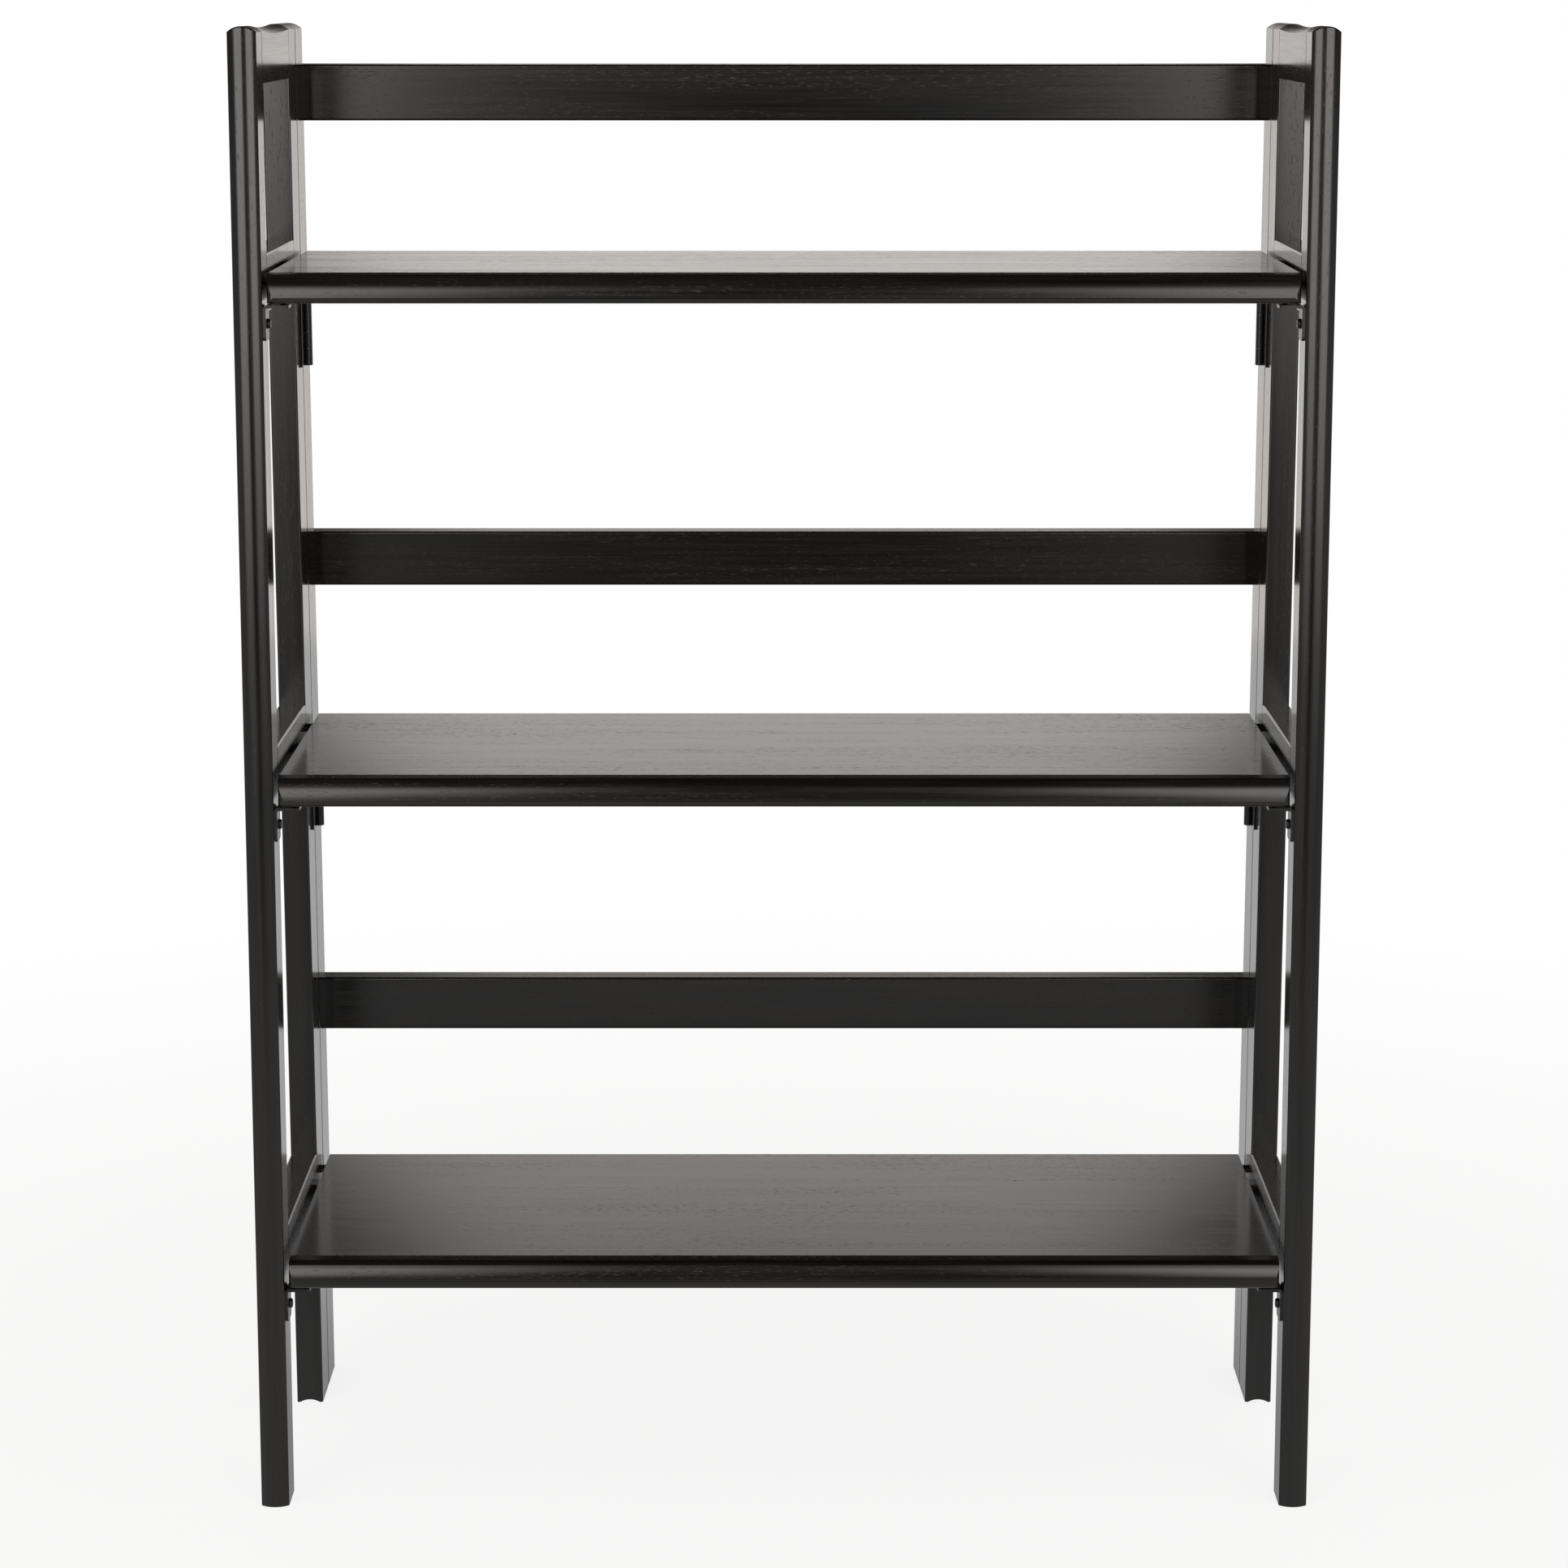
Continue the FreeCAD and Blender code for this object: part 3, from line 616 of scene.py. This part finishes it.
@dataclass
class Floor:
    """The white floor, which the camera sees as white with a faint shadow round the feet.

    Gloss shows it as a studio floor whose light is painted on as a glow: bright behind, fairly bright near the
    feet, and further forward painted pools of light by the two lights, with painted shade between them.
    """

    radius: float = 40.0
    rings: int = 24
    spokes: int = 64
    colour: Colour = (0.80, 0.80, 0.80)
    white_near: float = 0.85
    white_edges: Pair = (0.5, 1.8)
    # The gloss levels below are painted light: how bright the floor glows in reflections, zone by zone.
    painted_light_near: float = 0.42
    painted_shade_between_lamps: float = 0.06
    painted_lamp_pools: float = 0.34
    painted_light_behind: float = 0.72
    far_edges: Pair = (0.7, 2.6)
    painted_pool_edges: Pair = (0.15, 0.75)
    behind_edges: Pair = (0.0, 0.6)

    def mesh(self) -> bpy.types.Mesh:
        """Makes the floor as a disc.

        A point at ring r and spoke a is (r cos a, r sin a, 0). The rings' radii grow as the cube of their
        number, so that they are close together under the bookcase.

        Returns:
            The mesh.
        """
        radii = self.radius * np.linspace(0.0, 1.0, self.rings + 1) ** 3
        angles = np.linspace(0.0, 2 * np.pi, self.spokes, endpoint=False)
        rings, spokes = np.meshgrid(radii, angles, indexing="ij")
        grid = np.stack([rings * np.cos(spokes), rings * np.sin(spokes), np.zeros_like(rings)], axis=-1)
        return grid_mesh("studio_floor", grid, wrap_across=True)

    def place(self) -> None:
        """Makes the floor and its finish, and sets it."""
        material, graph = new_material("studio_floor_white")
        place = graph.add("ShaderNodeTexCoord", output="Object")
        across, back, _ = graph.split(place)
        aside = graph.maths("ABSOLUTE", across)
        radius = graph.add("ShaderNodeVectorMath", {"operation": "LENGTH"}, {0: place}, output="Value")
        seen = graph.ray(Ray.CAMERA)
        mirrored = graph.ray(Ray.GLOSS)
        # Painted light: for gloss rays the floor glows with painted pools of light by the two lamps and painted
        # shade between them, bright behind and fairly bright near the feet.
        painted_far_light = graph.smooth(aside, *self.painted_pool_edges).between(self.painted_shade_between_lamps, self.painted_lamp_pools)
        forward = graph.smooth(radius, *self.far_edges).between(self.painted_light_near, painted_far_light)
        gloss = graph.smooth(back, *self.behind_edges).between(forward, self.painted_light_behind)
        share = seen * graph.smooth(radius, *self.white_edges).between(self.white_near, 1.0) + mirrored
        paint = graph.add("ShaderNodeBsdfDiffuse", sockets={"Color": (*self.colour, 1.0)})
        white = graph.emission(WHITE, seen + mirrored * gloss)
        graph.end(graph.mix_shaders(share, paint, white))
        set_stage(self.mesh(), material)


@dataclass
class Card:
    """A long white card behind the bookcase, which only gloss shows.

    Its white fades out at its upper edge, and lower down towards the sides.
    """

    behind: float = 3.5
    half_width: float = 7.0
    height: float = 1.54
    feather: float = 0.14
    sides_drop: float = 0.42
    drop_edges: Pair = (0.35, 0.95)
    strength: float = 1.0
    points_across: int = 15
    points_up: int = 5

    def mesh(self) -> bpy.types.Mesh:
        """Makes the card as a flat grid.

        A point of it is (x, behind, z), with x from side to side and z from the floor to its height.

        Returns:
            The mesh.
        """
        across = np.linspace(-self.half_width, self.half_width, self.points_across)
        up = np.linspace(0.0, self.height, self.points_up)
        across, up = np.meshgrid(across, up, indexing="ij")
        grid = np.stack([across, np.full_like(across, self.behind), up], axis=-1)
        return grid_mesh("studio_card", grid)

    def place(self) -> None:
        """Makes the card and its finish, and sets it."""
        material, graph = new_material("studio_card_white")
        across, _, up = graph.split(graph.add("ShaderNodeTexCoord", output="Object"))
        aside = graph.maths("ABSOLUTE", across)
        level = up + graph.smooth(aside, *self.drop_edges) * self.sides_drop
        fade = graph.falling(level, self.height * (1.0 - self.feather), self.height)
        clear = graph.add("ShaderNodeBsdfTransparent")
        white = graph.emission(WARM_WHITE, self.strength)
        graph.end(graph.mix_shaders(graph.ray(Ray.GLOSS) * fade, clear, white))
        set_stage(self.mesh(), material)


@dataclass
class Surroundings:
    """The surroundings: white to the camera, an even dome for matt surfaces and a dim room for gloss.

    The room is as bright as its walls up to just above the horizon, and from there it darkens to the ceiling.
    The ceiling's edges are heights on a sphere of radius 1.
    """

    ambient: float = 0.60
    walls: float = 0.09
    ceiling: float = 0.018
    ceiling_edges: Pair = (0.04, 0.22)

    def place(self) -> None:
        """Makes the world and hands it to the scene."""
        world = bpy.data.worlds.new("studio")
        world.use_nodes = True
        world.cycles.sampling_method = "NONE"
        bpy.context.scene.world = world
        graph = Graph(world.node_tree)
        _, _, up = graph.split(graph.add("ShaderNodeTexCoord", output="Generated"))
        room = graph.smooth(up, *self.ceiling_edges).between(self.walls, self.ceiling)
        light = graph.ray(Ray.GLOSS).between(self.ambient, room)
        seen = graph.ray(Ray.CAMERA)
        sockets = {"Color": graph.mix_colour(seen, WARM_WHITE, WHITE), "Strength": seen.between(light, 1.0)}
        shader = graph.add("ShaderNodeBackground", sockets=sockets)
        graph.add("ShaderNodeOutputWorld", sockets={"Surface": shader})
        LOG.info("surroundings made")


@dataclass
class SoftLight:
    """A tall soft light beside the camera, turned towards the bookcase.

    Its brightness fades out at the edges. The feathers and the flare are shares of its width or its height.
    """

    side: Side
    angle: float = math.radians(27.5)
    distance: float = 2.9
    width: float = 2.55
    low: float = 0.0
    high: float = 2.90
    side_feather: float = 0.15
    low_feather: float = 0.27
    high_feather: float = 0.43
    inner_flare: float = 0.19
    radiance: float = 3.0

    def fade(self, graph: Graph) -> Field:
        """Works out how bright the light's face is from place to place.

        It fades out at all four edges. The inner edge curves outwards as it comes down, by the flare times
        the square of the share of the height that is above it.

        Args:
            graph: The light's graph.

        Returns:
            The share of its full brightness.
        """
        across, up, _ = graph.split(graph.add("ShaderNodeNewGeometry", output="Parametric"))
        outwards = across if self.side is Side.RIGHT else 1.0 - across
        above = 1.0 - up
        inner = outwards - above * above * self.inner_flare
        sides = graph.smooth(inner, 0.0, self.side_feather)
        sides = sides * graph.falling(outwards, 1.0 - self.side_feather, 1.0)
        ends = graph.smooth(up, 0.0, self.low_feather) * graph.falling(up, 1.0 - self.high_feather, 1.0)
        return sides * ends

    def place(self) -> None:
        """Makes the light and hangs it."""
        height = self.high - self.low
        sign = self.side.value
        data = bpy.data.lights.new(f"soft_light_{self.side.word}", "AREA")
        data.shape = "RECTANGLE"
        data.size = self.width
        data.size_y = height
        data.energy = self.radiance * math.pi * self.width * height
        data.use_nodes = True
        graph = Graph(data.node_tree)
        light = graph.emission(WARM_WHITE, self.fade(graph))
        graph.add("ShaderNodeOutputLight", sockets={"Surface": light})
        lamp = bpy.data.objects.new(data.name, data)
        lamp.location = (
            sign * self.distance * math.sin(self.angle),
            -self.distance * math.cos(self.angle),
            (self.low + self.high) / 2,
        )
        lamp.rotation_euler = (math.pi / 2, 0.0, sign * self.angle)
        lamp.visible_camera = False
        bpy.context.scene.collection.objects.link(lamp)
        LOG.info("%s lit", lamp.name)


def main() -> None:
    """Loads the frame, dresses every sub-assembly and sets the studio."""
    logging.basicConfig(level=logging.INFO, format="%(message)s")
    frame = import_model()
    Camera().place()
    dresser = Dresser(frame["nodes"])
    for side in Side:
        SideFrame(side, dresser).dress()
    BackFrame(dresser).dress()
    for level in Level:
        Shelf(level, dresser).dress()
    Floor().place()
    Card().place()
    Surroundings().place()
    for side in Side:
        SoftLight(side).place()
    bpy.context.scene.view_settings.view_transform = "Standard"


if __name__ == "__main__":
    main()
